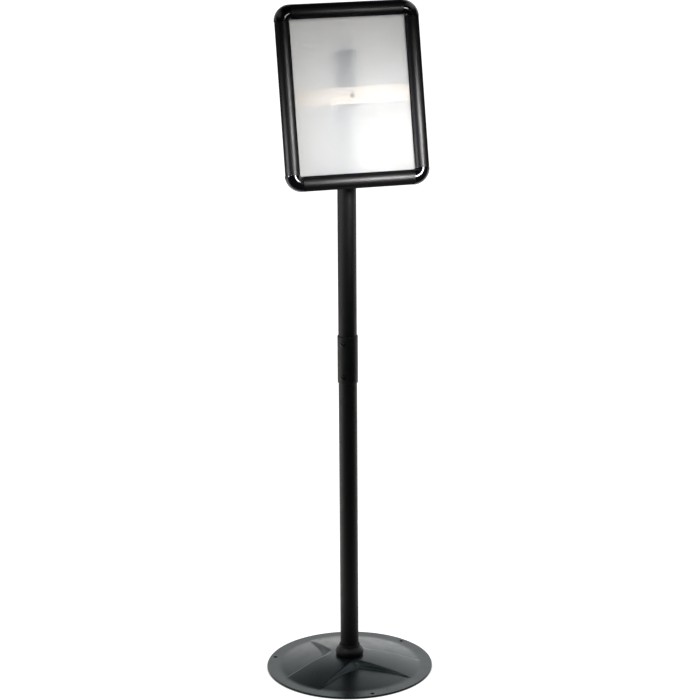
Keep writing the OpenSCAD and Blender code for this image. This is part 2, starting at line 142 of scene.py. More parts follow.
def soften(points, reach, sharp=25, steps=4, closed=True):
    """Rounds an outline's sharp corners with curves that start reach before and after them."""
    pts = [Vector((p[0], p[1])) for p in points]
    n = len(pts)
    edge = [(pts[(i + 1) % n] - pts[i]).length for i in range(n)]
    at = [0.0]
    for length in edge:
        at.append(at[-1] + length)
    total = at[-1] if closed else at[-2]

    def point(s):
        s = s % total if closed else min(max(s, 0), total)
        i = max(k for k in range(n) if at[k] <= s + 1e-9)
        t = 0 if edge[i] < 1e-9 else (s - at[i]) / edge[i]
        return pts[i].lerp(pts[(i + 1) % n], min(t, 1))

    corners = []
    for i in range(n):
        if not closed and i in (0, n - 1):
            continue
        a, b = pts[i] - pts[i - 1], pts[(i + 1) % n] - pts[i]
        if a.length > 1e-9 and b.length > 1e-9 and a.angle(b) > math.radians(sharp):
            corners.append(i)
    away = {}
    for k, i in enumerate(corners):
        if closed or len(corners) > 1:
            before = (at[i] - at[corners[k - 1]]) % total or total
            following = corners[(k + 1) % len(corners)]
            after = (at[following] - at[i]) % total or total
        else:
            before = after = total
        away[i] = min(reach, HALF_WAY * before, HALF_WAY * after)
    out = []
    for i in range(n):
        if i in away:
            a, b = point(at[i] - away[i]), point(at[i] + away[i])
            for k in range(steps + 1):
                t = k / steps
                out.append(a * (1 - t) ** 2 + pts[i] * 2 * t * (1 - t) + b * t * t)
        elif all(min((at[i] - at[j]) % total, (at[j] - at[i]) % total) > away[j] + 1e-6
                 for j in away):
            out.append(pts[i])
    return [tuple(p) for p in out]


def rectangle(x0, x1, y0, y1):
    return [(x0, y0), (x1, y0), (x1, y1), (x0, y1)]


def arc(cx, cy, radius, start, end, steps):
    """Points on a circle from angle start to angle end, in degrees."""
    angles = [math.radians(start + (end - start) * i / steps) for i in range(steps + 1)]
    return [(cx + radius * math.cos(a), cy + radius * math.sin(a)) for a in angles]


def hexagon(radius):
    return arc(0, 0, radius, 0, 300, 5)


# ---------------------------------------------------------------- meshes

def mesh_object(verts, faces, uvs=None):
    """A new mesh, in millimetres. uvs, when given, holds one pair for each vertex."""
    mesh = bpy.data.meshes.new("piece")
    mesh.from_pydata([tuple(v) for v in verts], [], [tuple(int(i) for i in f) for f in faces])
    if uvs is not None:
        layer = mesh.uv_layers.new(name="grain")
        for loop in mesh.loops:
            layer.data[loop.index].uv = uvs[loop.vertex_index]
    bm = bmesh.new()
    bm.from_mesh(mesh)
    bmesh.ops.remove_doubles(bm, verts=bm.verts, dist=1e-5)
    bmesh.ops.recalc_face_normals(bm, faces=bm.faces)
    bm.to_mesh(mesh)
    bm.free()
    obj = bpy.data.objects.new("piece", mesh)
    bpy.context.scene.collection.objects.link(obj)
    return obj


def grid(rows, wrap_rows, wrap_columns, caps=False, uvs=None):
    """A mesh from equally long rows of points. caps closes the first and last row with a face."""
    n, m = len(rows), len(rows[0])
    verts = [p for row in rows for p in row]
    faces = []
    for i in range(n if wrap_rows else n - 1):
        for j in range(m if wrap_columns else m - 1):
            a, b = i * m + j, i * m + (j + 1) % m
            c, d = ((i + 1) % n) * m + (j + 1) % m, ((i + 1) % n) * m + j
            faces.append((a, b, c, d))
    if caps:
        faces.append(tuple(range(m))[::-1])
        faces.append(tuple((n - 1) * m + j for j in range(m)))
    return mesh_object(verts, faces, uvs)


def lathe(profile, segments=96, closed=True):
    """Turns an outline of (radius, height) points about +Z. An open one ends on the axis."""
    rows = []
    for i in range(segments):
        a = 2 * math.pi * i / segments
        rows.append([(r * math.cos(a), r * math.sin(a), z) for r, z in profile])
    return grid(rows, True, closed)


def ring(inner, outer, z0, z1, edge=0.2, segments=96, stations=()):
    """A tube or washer with rounded edges. stations are extra rows along its height."""
    outside = [(outer, z) for z in stations]
    inside = [(inner, z) for z in reversed(stations)]
    outline = [(inner, z0), (outer, z0)] + outside + [(outer, z1), (inner, z1)] + inside
    return lathe(soften(outline, edge), segments)


def sweep(section, stations):
    """Carries an outline through stations of (origin, x axis, y axis), with closed ends."""
    rows, uvs = [], []
    across = [0.0]
    for a, b in zip(section, section[1:]):
        across.append(across[-1] + math.dist(a, b))
    along = 0.0
    for k, (origin, ux, uy) in enumerate(stations):
        if k:
            along += (Vector(origin) - Vector(stations[k - 1][0])).length
        rows.append([Vector(origin) + Vector(ux) * s + Vector(uy) * z for s, z in section])
        uvs += [(d * MM, along * MM) for d in across]
    return grid(rows, False, True, caps=True, uvs=uvs)


def prism(outline, z0, z1):
    return sweep(outline, [((0, 0, z), (1, 0, 0), (0, 1, 0)) for z in (z0, z1)])


def moved(obj, matrix):
    obj.data.transform(matrix)
    return obj


def joined(*objects):
    """Puts several meshes into the first one."""
    bm = bmesh.new()
    for o in objects:
        bm.from_mesh(o.data)
    bm.to_mesh(objects[0].data)
    bm.free()
    for o in objects[1:]:
        bpy.data.objects.remove(o)
    return objects[0]


def combine(target, tool, operation):
    """Boolean of two closed meshes, applied. The tool is used up."""
    modifier = target.modifiers.new("boolean", "BOOLEAN")
    modifier.operation, modifier.solver, modifier.object = operation, "EXACT", tool
    graph = bpy.context.evaluated_depsgraph_get()
    mesh = bpy.data.meshes.new_from_object(target.evaluated_get(graph))
    target.modifiers.clear()
    target.data = mesh
    bpy.data.objects.remove(tool)
    return target


def cut(target, *tools):
    for tool in tools:
        combine(target, tool, "DIFFERENCE")
    return target


def rod(radius, z0, z1, segments=48):
    return lathe([(0, z0), (radius, z0), (radius, z1), (0, z1)], segments, closed=False)


M5, M5_HOLE, M5_NUT, M5_NUT_T = 2.5, 2.55, 4.6, 4  # radii, and the nut's thickness
M5_PITCH = 0.8
THREAD_DEPTH = 0.55  # of the pitch
ROWS_PER_PITCH = 6


def threaded_rod(radius, z0, z1, pitch, tip=0.5, segments=36):
    """A helical thread on a shank, with a tapered tip at z0 and a plain end at z1."""
    depth = THREAD_DEPTH * pitch
    count = max(int((z1 - z0) / pitch * ROWS_PER_PITCH), 8)
    rows = []
    for i in range(segments + 1):
        a = 2 * math.pi * i / segments
        row = [(0, 0, z0)]
        for k in range(count + 1):
            z = z0 + (z1 - z0) * k / count
            phase = (z / pitch - i / segments) % 1
            groove = depth * (1 - abs(2 * phase - 1)) * min(1, (z1 - z) / pitch)
            taper = max(0.0, 1 - (z - z0) / (2 * pitch)) * tip
            r = radius - groove - taper
            row.append((r * math.cos(a), r * math.sin(a), z))
        row.append((0, 0, z1))
        rows.append(row)
    return grid(rows, False, False)


OVERLAP = 0.02  # how far a shank reaches into its head


def threaded_up(radius, z0, z1, pitch, tip=0.5):
    """A thread whose tip is at its upper end z1."""
    shank = moved(threaded_rod(radius, -z1, -z0, pitch, tip), Matrix.Scale(-1, 4, (0, 0, 1)))
    shank.data.flip_normals()
    return shank


def hex_body(radius, z0, z1, chamfer_low, chamfer_high):
    """A hexagon prism whose corners are turned off at its ends."""
    body = prism(hexagon(radius), z0, z1)
    flat = radius * math.cos(math.radians(30))
    face, beyond, clear = flat * 0.97, radius + 1, radius + 0.02
    drop = 0.42 * (radius - flat) * 2
    outline = [(0, z0), (face if chamfer_low else beyond, z0)]
    if chamfer_low:
        outline.append((clear, z0 + drop))
    if chamfer_high:
        outline.append((clear, z1 - drop))
    outline += [(face if chamfer_high else beyond, z1), (0, z1)]
    return combine(body, lathe(outline, 72, closed=False), "INTERSECT")


def nut(radius, hole, z0, z1):
    body = hex_body(radius, z0, z1, True, True)
    ease = 0.45
    bore = [(0, z0 - 1), (hole + 1, z0 - 1), (hole + ease, z0), (hole, z0 + ease),
            (hole, z1 - ease), (hole + ease, z1), (hole + 1, z1 + 1), (0, z1 + 1)]
    return cut(body, lathe(bore, 48, closed=False))


def slotted_screw(shank, length, head, height, turn, slot_w=1.2, pitch=M5_PITCH):
    """A slotted pan-head screw along -Z whose head stands on z = 0."""
    pan = ((0, 0), (1, 0), (0.97, 0.45), (0.8, 0.86), (0.5, 1), (0, 1))
    profile = [(head * across, height * up) for across, up in pan]
    top = lathe(soften(profile, 0.35, sharp=12, steps=5, closed=False), 72, closed=False)
    reach = head * 1.2
    slot = prism(rectangle(-reach, reach, -slot_w / 2, slot_w / 2), height / 2, height + 1)
    cut(top, moved(slot, turned(turn, "Z")))
    return joined(top, threaded_rod(shank, -length, OVERLAP, pitch))


# ---------------------------------------------------------------- materials

RANGE_SOCKETS = ("From Min", "From Max", "To Min", "To Max")


def link(nt, a, b):
    nt.links.new(a, b)


def arithmetic(nt, operation, a, b):
    """A math node on two sockets."""
    n = nt.nodes.new("ShaderNodeMath")
    n.operation = operation
    link(nt, a, n.inputs[0])
    link(nt, b, n.inputs[1])
    return n.outputs[0]


def map_range(nt, value, *limits, smooth=False):
    """Takes a socket's value from the range (low, high) to the range (to_low, to_high)."""
    n = nt.nodes.new("ShaderNodeMapRange")
    if smooth:
        n.interpolation_type = "SMOOTHSTEP"
    for socket, limit in zip(RANGE_SOCKETS, limits):
        n.inputs[socket].default_value = limit
    link(nt, value, n.inputs["Value"])
    return n.outputs["Result"]


class Finish:
    """Builds one procedural material: colour, roughness and bump all vary over the surface."""

    def __init__(self, name, colour, roughness, metallic=0.0, sign=False):
        self.mat = bpy.data.materials.new(name)
        self.mat.use_nodes = True
        self.nt = self.mat.node_tree
        self.bsdf = self.nt.nodes["Principled BSDF"]
        self.out = self.nt.nodes["Material Output"]
        self.colour, self.roughness = colour, roughness
        self.bsdf.inputs["Metallic"].default_value = metallic
        self.coord = self.node("ShaderNodeTexCoord").outputs["Object"]
        self.turn = SIGN.to_3x3().normalized().inverted().to_euler() if sign else (0, 0, 0)

    def node(self, kind, **values):
        n = self.nt.nodes.new(kind)
        for k, v in values.items():
            setattr(n, k, v)
        return n

    def mapped(self, stretch=(1, 1, 1)):
        """Object coordinates, turned to the sign's axes where that is wanted, then stretched."""
        turn = self.node("ShaderNodeMapping")
        turn.inputs["Rotation"].default_value = self.turn
        link(self.nt, self.coord, turn.inputs["Vector"])
        scale = self.node("ShaderNodeMapping")
        scale.inputs["Scale"].default_value = stretch
        link(self.nt, turn.outputs[0], scale.inputs["Vector"])
        return scale.outputs[0]

    def noise(self, scale, detail=4.0, stretch=(1, 1, 1), rough=0.55):
        n = self.node("ShaderNodeTexNoise")
        n.inputs["Scale"].default_value = scale
        n.inputs["Detail"].default_value = detail
        n.inputs["Roughness"].default_value = rough
        link(self.nt, self.mapped(stretch), n.inputs["Vector"])
        return n.outputs["Fac"]

    def levels(self, value, low, high, to_low=0.0, to_high=1.0):
        return map_range(self.nt, value, low, high, to_low, to_high)

    def times(self, a, b):
        return arithmetic(self.nt, "MULTIPLY", a, b)

    def mix(self, factor, a, b):
        """Colour between a and b, each a colour or a socket."""
        n = self.node("ShaderNodeMix", data_type="RGBA")
        link(self.nt, factor, n.inputs["Factor"])
        for socket, value in ((n.inputs[6], a), (n.inputs[7], b)):
            if isinstance(value, (tuple, list)):
                socket.default_value = (*value, 1)
            else:
                link(self.nt, value, socket)
        return n.outputs[2]

    def mix_shaders(self, share, first, second):
        n = self.node("ShaderNodeMixShader")
        if isinstance(share, float):
            n.inputs[0].default_value = share
        else:
            link(self.nt, share, n.inputs[0])
        link(self.nt, first, n.inputs[1])
        link(self.nt, second, n.inputs[2])
        return n.outputs[0]

    def paint(self, spread=0.15, patch=14, stretch=(1, 1, 1), wear=None, wear_from=0.53,
              wear_to=0.6, dust=None, dust_share=0.25):
        """Patchy colour, optional wear on edges and optional dust on faces that look up."""
        dark = tuple(c * (1 - spread) for c in self.colour)
        light = tuple(min(c * (1 + spread), 1) for c in self.colour)
        value = self.mix(self.levels(self.noise(patch, 5, stretch), 0.35, 0.65), dark, light)
        geometry = self.node("ShaderNodeNewGeometry").outputs
        if wear:
            edge = self.levels(geometry["Pointiness"], wear_from, wear_to)
            broken = self.levels(self.noise(260, 3), 0.42, 0.6)
            value = self.mix(self.times(edge, broken), value, wear)
        if dust:
            split = self.node("ShaderNodeSeparateXYZ")
            link(self.nt, geometry["Normal"], split.inputs[0])
            up = self.levels(split.outputs["Z"], 0.3, 1.0, 0.0, dust_share)
            patches = self.levels(self.noise(45, 6), 0.35, 0.7)
            value = self.mix(self.times(up, patches), value, dust)
        link(self.nt, value, self.bsdf.inputs["Base Color"])
        return self

    def gloss(self, spread=0.06, scale=30, stretch=(1, 1, 1)):
        value = self.levels(self.noise(scale, 4, stretch), 0.3, 0.7,
                            self.roughness - spread, self.roughness + spread)
        link(self.nt, value, self.bsdf.inputs["Roughness"])
        return self

    def bump(self, scale, distance, strength=0.5, stretch=(1, 1, 1), detail=3):
        n = self.node("ShaderNodeBump")
        n.inputs["Strength"].default_value = strength
        n.inputs["Distance"].default_value = distance
        link(self.nt, self.noise(scale, detail, stretch), n.inputs["Height"])
        link(self.nt, n.outputs[0], self.bsdf.inputs["Normal"])
        return self

    def set(self, **sockets):
        """Constants, straight on the shader's own sockets."""
        for k, v in sockets.items():
            self.bsdf.inputs[k.replace("_", " ")].default_value = v
        return self

    def grain_across(self, amount):
        """Stretches reflections across the extrusion's length, as its fine drawn lines do."""
        tangent = self.node("ShaderNodeTangent", direction_type="UV_MAP", uv_map="grain")
        self.bsdf.inputs["Anisotropic"].default_value = amount
        link(self.nt, tangent.outputs[0], self.bsdf.inputs["Tangent"])
        return self


ACROSS_UPRIGHT = (1.0, 0.03, 1.0)
ACROSS_LEVEL = (0.03, 1.0, 1.0)
STEEL_SHOWING = (0.09, 0.09, 0.095)

base_enamel = (Finish("satin_enamel", (0.0055, 0.0078, 0.0082), 0.31)
               .paint(0.22, 22, wear=STEEL_SHOWING, wear_from=0.62, wear_to=0.74,
                      dust=(0.03, 0.03, 0.03), dust_share=0.12)
               .gloss(0.04, 40).bump(900, 0.00006, 0.2)
               .set(Specular_Tint=(0.75, 0.97, 1.0, 1)).mat)
mast_black = (Finish("mast_powder_coat", (0.0042, 0.0050, 0.0050), 0.5)
              .paint(0.22, 16, (1, 1, 0.25), wear=STEEL_SHOWING, wear_from=0.6, wear_to=0.75)
              .gloss(0.05, 55).bump(1300, 0.00005, 0.3).mat)
boot_plastic = (Finish("boot_plastic", (0.0035, 0.0036, 0.0038), 0.55)
                .paint(0.2, 40).gloss(0.06, 90).bump(1700, 0.00007, 0.4).mat)
zinc = (Finish("zinc_plate", (0.55, 0.56, 0.55), 0.3, metallic=1.0)
        .paint(0.14, 160, wear=(0.3, 0.28, 0.24), wear_from=0.55, wear_to=0.7)
        .gloss(0.1, 320).bump(2600, 0.00002, 0.3).mat)
zinc_dull = (Finish("zinc_dull", (0.035, 0.035, 0.038), 0.5, metallic=0.6)
             .paint(0.14, 160).gloss(0.08, 320).bump(2600, 0.00002, 0.3).mat)
black_screw = (Finish("blackened_screw", (0.055, 0.056, 0.058), 0.34, metallic=0.85)
               .paint(0.25, 300, wear=(0.3, 0.3, 0.3), wear_from=0.53, wear_to=0.62)
               .gloss(0.08, 500).bump(2600, 0.00002, 0.3).mat)
nylon = (Finish("nylon", (0.78, 0.76, 0.7), 0.42)
         .paint(0.05, 120).gloss(0.06, 200).bump(1400, 0.00003, 0.3)
         .set(Subsurface_Weight=0.15, Subsurface_Radius=(0.002, 0.0015, 0.001)).mat)
bar_white = (Finish("bar_white", (0.86, 0.78, 0.735), 0.8, sign=True)
             .paint(0.03, 30, ACROSS_LEVEL, wear=(0.5, 0.48, 0.44), wear_from=0.6, wear_to=0.75)
             .gloss(0.06, 60).bump(900, 0.00004, 0.25).mat)
track_black = (Finish("track_black", (0.016, 0.016, 0.0175), 0.42, metallic=0.35, sign=True)
               .paint(0.2, 60).gloss(0.07, 150).bump(1500, 0.00003, 0.3).mat)


def rail_finish(name, stretch):
    return (Finish(name, (0.034, 0.0335, 0.035), 0.36, metallic=1.0, sign=True)
            .paint(0.06, 300, stretch, wear=STEEL_SHOWING, wear_from=0.6, wear_to=0.75)
            .gloss(0.035, 900, stretch).bump(2200, 0.00002, 0.35, stretch).grain_across(0.6)
            .set(Specular_Tint=(0.35, 0.35, 0.37, 1)).mat)


rail_upright = rail_finish("rail_upright", ACROSS_UPRIGHT)
rail_level = rail_finish("rail_level", ACROSS_LEVEL)
cap_gloss = (Finish("cap_gloss", (0.0025, 0.0025, 0.0042), 0.13, sign=True)
             .paint(0.2, 60).gloss(0.03, 120).bump(420, 0.00003, 0.15)
             .set(Coat_Weight=0.35, Coat_Roughness=0.06).mat)
spring_steel = (Finish("spring_steel", (0.42, 0.44, 0.48), 0.28, metallic=1.0, sign=True)
                .paint(0.12, 200).gloss(0.08, 300, (1, 0.1, 1)).bump(2000, 0.00002, 0.3).mat)


PLASTIC_IOR = 1.45


def sheet_finish(name, colour, veil_colour, roughness, diffuse_share, haze):
    """A frosted or non-glare plastic sheet: some light scatters, the rest passes, blurred."""
    f = Finish(name, colour, roughness, sign=True)
    f.paint(0.02, 9).gloss(0.02, 25).bump(2500, 0.00001, 0.15)
    f.set(IOR=PLASTIC_IOR, Transmission_Weight=1.0)
    scatter = f.node("ShaderNodeBsdfTranslucent")
    diffuse = f.node("ShaderNodeBsdfDiffuse")
    for shader in (scatter, diffuse):
        shader.inputs["Color"].default_value = (*veil_colour, 1)
    veil = f.mix_shaders(0.5, scatter.outputs[0], diffuse.outputs[0])
    share = f.levels(f.noise(11, 3), 0.3, 0.7, diffuse_share - haze, diffuse_share + haze)
    body = f.mix_shaders(share, f.bsdf.outputs[0], veil)
    # Lamps shine through a sheet this thin, so its shadow is only partly dark
    path = f.node("ShaderNodeLightPath")
    clear = f.node("ShaderNodeBsdfTransparent")
    clear.inputs[0].default_value = (0.74, 0.74, 0.74, 1)
    final = f.mix_shaders(path.outputs["Is Shadow Ray"], body, clear.outputs[0])
    link(f.nt, final, f.out.inputs["Surface"])
    return f.mat


cover_film = sheet_finish("cover_film", (0.97, 0.97, 0.97), veil_colour=(0.9, 0.93, 1.0),
                          roughness=0.45, diffuse_share=0.02, haze=0.003)
frosted = sheet_finish("frosted_sheet", (0.69, 0.67, 0.61), veil_colour=(0.52, 0.66, 1.0),
                       roughness=0.66, diffuse_share=0.078, haze=0.004)


# ---------------------------------------------------------------- publishing a piece

def publish(obj, material, slot_name, *nodes, place=MAST, bevel=0.0, smooth=32):
    """Names, places and finishes a piece, which rides on the body of the nodes it replaces."""
    obj.name = obj.data.name = nodes[0] + LOOK
    obj.data.transform(place)
    obj.data.materials.clear()
    obj.data.materials.append(material)
    for polygon in obj.data.polygons:
        polygon.use_smooth = True
    obj.data.set_sharp_from_angle(angle=math.radians(smooth))
    if bevel:
        edges = obj.modifiers.new("edges", "BEVEL")
        edges.width, edges.segments = bevel * MM, 3
        edges.limit_method, edges.angle_limit = "ANGLE", math.radians(40)
        edges.harden_normals = True
        edges.use_clamp_overlap = True
    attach(obj, NODES[nodes[0]]["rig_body"])
    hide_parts(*nodes)


# ---------------------------------------------------------------- base

THREE = [-90 + 120 * k for k in range(3)]  # directions of the pockets and the rim's holes


def smooth_min(a, b, k):
    h = np.maximum(k - np.abs(a - b), 0) / k
    return np.minimum(a, b) - h * h * k / 4


def smooth_max(a, b, k):
    return -smooth_min(-a, -b, k)


def base_height(x, y, grow, base):
    """Height of the pressed base's upper face: rounded centre, flat rim and three pockets."""
    r = np.hypot(x, y)
    rim = np.full_like(r, base["rim"])
    share = np.maximum(r - base["crown"], 0) / (base["rim_in"] - base["crown"])
    fall = (base["dome"] - base["rim"]) * share ** base["dome_bow"]
    dome = smooth_max(base["dome"] - fall, rim, base["dome_foot"])
    fall = (base["floor"] - base["rim"]) * (r / base["floor_end"]) ** base["floor_bow"]
    low = np.minimum(smooth_max(base["floor"] - fall, rim, base["floor_foot"]), dome)
    wall = dome + 100  # out of the way of the pockets' walls
    half = math.radians(base["side"])
    for direction in THREE:
        turn = math.radians(direction + base["turn"])
        px = x * math.cos(turn) + y * math.sin(turn) - base["nose_x"]
        py = np.abs(-x * math.sin(turn) + y * math.cos(turn))
        along = px * math.cos(half) + py * math.sin(half)
        off = np.where(along > 0, py * math.cos(half) - px * math.sin(half), np.hypot(px, py))
        steeper = base["slope_gain"] * np.clip(along / base["slope_run"], 0, 1)
        inside = base["nose"] + grow + base["edge_out"] - off
        wall = np.minimum(wall, dome - (base["nose_slope"] + steeper) * inside)
    # The creases are rounded where the wall is tall, and fade out where it runs into the rim
    tall = np.clip((dome - low) / base["tall"], 0.02, 1)
    pocket = smooth_max(low, wall, base["foot_round"] * tall)
    return smooth_min(dome, pocket, base["edge_round"] * tall)


def make_base():
    lo, hi = extent("base_plate")
    edge_r = hi.x
    base = {"dome": hi.z, "rim": 3.0, "rim_in": edge_r - 21, "crown": 27.0, "floor": hi.z - 9.2,
            "floor_end": edge_r - 23, "nose": 14.0, "nose_x": 52.5, "side": 54.0, "turn": 1.0,
            "dome_bow": 1.5, "dome_foot": 1.2, "floor_bow": 2.3, "floor_foot": 0.9,
            "nose_slope": 0.85, "slope_gain": 0.9, "slope_run": 35.0, "edge_out": 1.7,
            "foot_round": 3.0, "edge_round": 4.6, "tall": 3.5}
    thick, bore, round_r, under_cut = 3.0, 5.25, 0.5, 0.25
    grow = 2.4  # pockets are this much wider on the underside
    boss_r, flat_r = 26, 127  # rows of vertices are closer outside the boss, up to the rim
    radii = np.concatenate([np.linspace(bore, boss_r, 14)[:-1],
                            np.linspace(boss_r, flat_r, 106)[:-1],
                            np.linspace(flat_r, edge_r - round_r, 8)])
    angle = np.linspace(0, 2 * math.pi, 400, endpoint=False)

    def circle(r, height):
        x, y = r * np.cos(angle), r * np.sin(angle)
        z = height(x, y) if callable(height) else np.full(len(angle), height)
        return np.stack([x, y, z], 1)

    def upper(x, y):
        return base_height(x, y, 0.0, base)

    def under(x, y):
        return base_height(x, y, grow, base) - thick

    columns = [circle(r, upper) for r in radii]
    for k in range(1, 5):
        a = math.radians(90 * k / 4)
        columns.append(circle(edge_r - round_r + round_r * math.sin(a),
                              base["rim"] - round_r + round_r * math.cos(a)))
    columns += [circle(edge_r, under_cut), circle(edge_r - under_cut, 0.0)]
    columns += [circle(r, lambda x, y: np.maximum(under(x, y), 0)) for r in radii[::-1][1::2]]
    columns.append(circle(bore, under))
    rows = np.stack(columns, 1)
    plate = grid([list(map(tuple, row)) for row in rows], True, True)
    hole_r, hole_top_r, hole_from_axis = 3.5, 3.6, 135.5
    outline = [(0, -1), (hole_r, -1), (hole_r, 2.9), (hole_top_r, 3.05), (hole_top_r, 5), (0, 5)]
    for direction in THREE:
        a = math.radians(direction + base["turn"])
        at = shifted(hole_from_axis * math.cos(a), hole_from_axis * math.sin(a), 0)
        cut(plate, moved(lathe(outline, 40, closed=False), at))
    publish(plate, base_enamel, "base_enamel", "base_plate", smooth=40)


make_base()

M10_HOLE = 5.05
SLIDE_R = 15.975  # bore of what slides over the tubes


def publish_ring(node, inner, edge, material=zinc, slot_name="fastener_zinc", place=MAST):
    lo, hi = extent(node, place)
    publish(ring(inner, hi.x, lo.z, hi.z, edge), material, slot_name, node, place=place)


publish_ring("base_washer", M10_HOLE, 0.3)
lo, hi = extent("base_bolt")
M10, M10_HEAD_T, M10_PITCH = 5, 6.4, 1.5
head_top = lo.z + M10_HEAD_T
publish(joined(hex_body(hi.x, lo.z, head_top, True, False),
               threaded_up(M10, head_top - OVERLAP, hi.z, M10_PITCH, tip=0.8)),
        zinc, "fastener_zinc", "base_bolt")
publish_ring("foot_insert", M10_HOLE, 0.5)


def boot_profile():
    """A straight neck that swells to the widest ring, which tucks in a little at the base."""
    lo, hi = extent("base_boot")
    neck, swell_z, tuck_in = 18.175, 29.0, 2.2
    neck_z = hi.z - 1.5
    bell, tuck = [], []
    for i in range(41):
        swell = (1 - math.cos(math.pi * i / 40)) / 2
        bell.append((neck + (hi.x - neck) * swell, neck_z - (neck_z - swell_z) * i / 40))
    for i in range(1, 15):
        a = math.pi / 2 * i / 14
        tuck.append((hi.x - tuck_in * (1 - math.cos(a)), swell_z - (swell_z - lo.z) * math.sin(a)))
    outline = [(SLIDE_R, hi.z), (neck - 0.3, hi.z)] + bell + tuck + [(SLIDE_R, lo.z)]
    return soften(outline, 0.55, sharp=30)


publish(lathe(boot_profile(), 128), boot_plastic, "boot_plastic", "base_boot")

# ---------------------------------------------------------------- mast

TUBE_WALL = 1.5
TUBE_R = extent("upper_tube")[1].x
_, TILT_Y, TILT_Z = (v / MM for v in JOINTS["sign_tilt"]["pos_m"])
BRACKET_UP = 17  # the bracket's screws, above and below the tilt axis
SLEEVE_LO, SLEEVE_HI = extent("coupling_sleeve")
JOINT_Z = (SLEEVE_LO.z + SLEEVE_HI.z) / 2
SCREW_UP, SCREW_DIR = 29.8, -135  # the sleeve's screws: from the tubes' joint, and their direction
SLEEVE_PLACES = [(JOINT_Z + u * SCREW_UP, SCREW_DIR) for u in (-1, 1)]
BRACKET_PLACES = [(TILT_Z + u * BRACKET_UP, -90) for u in (-1, 1)]
NUT_GAP = 0.7  # between the tube's curved wall and a flat nut
NUT_AT = TUBE_R - TUBE_WALL - NUT_GAP - M5_NUT_T


def bored(body, places, segments=32):
    """Drills an M5 hole through one wall at each (height, direction)."""
    for z, direction in places:
        cut(body, moved(rod(M5_HOLE, 0, 24, segments), on_mast(0, z, direction)))
    return body


def near(places):
    """Heights just above and below each place, for extra rows of vertices."""
    return sorted({z + d for z, _ in places for d in (-5, 5)})


def make_tube(node, places):
    lo, hi = extent(node)
    tube = ring(hi.x - TUBE_WALL, hi.x, lo.z, hi.z, 0.35, 128, near(places))
    publish(bored(tube, places), mast_black, "mast_black", node, smooth=30)


def screws_and_nuts(prefix, places, radius, length, head_r, turns):
    """Slotted M5 screws whose heads stand at radius, and their nuts inside the tube."""
    screws = [moved(slotted_screw(M5, length, head_r, 2.2, turn), on_mast(radius, *place))
              for place, turn in zip(places, turns)]
    publish(joined(*screws), black_screw, "screw_black", prefix + "_screws")
    nuts = [moved(nut(M5_NUT, M5_HOLE, 0, M5_NUT_T), on_mast(NUT_AT, *place)) for place in places]
    publish(joined(*nuts), zinc, "fastener_zinc", prefix + "_nuts")


make_tube("lower_tube", SLEEVE_PLACES[:1])
make_tube("upper_tube", SLEEVE_PLACES[1:] + BRACKET_PLACES)
publish(bored(ring(SLIDE_R, SLEEVE_HI.x, SLEEVE_LO.z, SLEEVE_HI.z, 0.75, 128, near(SLEEVE_PLACES)),
              SLEEVE_PLACES), mast_black, "mast_black", "coupling_sleeve", smooth=30)
screws_and_nuts("sleeve", SLEEVE_PLACES, SLEEVE_HI.x, 9, 4.5, (45, 45))


def cap_profile():
    """Half of the plug in the mast's top: a flat head over a hollow skirt."""
    lo, hi = extent("tube_cap")
    under, skirt_out, skirt_in = hi.z - 2, 14.325, 12.375
    return soften([(0, hi.z), (hi.x - 0.8, hi.z), (hi.x, under), (skirt_out, under),
                   (skirt_out, lo.z), (skirt_in, lo.z), (skirt_in, under), (0, under)],
                  0.5, closed=False)


publish(lathe(cap_profile(), 128, closed=False), boot_plastic, "boot_plastic", "tube_cap")

# ---------------------------------------------------------------- tilt head

EAR_R, PLATE_T, BEND_R = 6.5, 2.5, 1.0
SEAT = 0.05  # between the mast and the bracket


def side_outline(web_half, web_near, web_far, ear_axis):
    """Side view of a U plate: a tall web, and an ear with a round end about the tilt axis."""
    return ([(web_far, web_half), (web_near, web_half), (web_near, EAR_R)]
            + arc(ear_axis, 0, EAR_R, 90, 270, 24)
            + [(web_near, -EAR_R), (web_near, -web_half), (web_far, -web_half)])


def u_outline(half, thick, tip, web_near, web_far, bend):
    """U seen along its bend: legs at x = +-half that reach tip, joined by a web."""
    outer_r, inside = bend + thick, half - thick
    return ([(-half, tip)] + arc(-half + outer_r, web_far - outer_r, outer_r, 180, 90, 6)
            + arc(half - outer_r, web_far - outer_r, outer_r, 90, 0, 6)
            + [(half, tip), (inside, tip)] + arc(inside - bend, web_near - bend, bend, 0, 90, 6)
            + arc(bend - inside, web_near - bend, bend, 90, 180, 6) + [(-inside, tip)])


def u_plate(plan, bends, side, sides):
    """A U plate: its plan swept through two stations, cut to its side view and rounded there."""
    body = sweep(plan, bends)
    return combine(body, sweep(soften(side, 1.6, sharp=50), sides), "INTERSECT")


def make_bracket():
    lo, hi = extent("head_bracket")
    front = -TUBE_R - PLATE_T
    back = front + PLATE_T - SEAT
    body = u_plate(u_outline(hi.x, PLATE_T, lo.y - 1, front, back, BEND_R),
                   [((0, 0, z), (1, 0, 0), (0, 1, 0)) for z in (lo.z, hi.z)],
                   side_outline((hi.z - lo.z) / 2, front, back, TILT_Y),
                   [((x, 0, TILT_Z), (0, 1, 0), (0, 0, 1)) for x in (-hi.x - 1, hi.x + 1)])
    cut(body, moved(rod(M5_HOLE, -20, 20, 40), ALONG_TILT))
    publish(bored(body, BRACKET_PLACES, 40), mast_black, "mast_black", "head_bracket", bevel=0.3)


ALONG_TILT = shifted(0, TILT_Y, TILT_Z) @ turned(90, "Y")
make_bracket()
screws_and_nuts("bracket", BRACKET_PLACES, TUBE_R + PLATE_T + SEAT, 10, 4.2, (-20, 20))

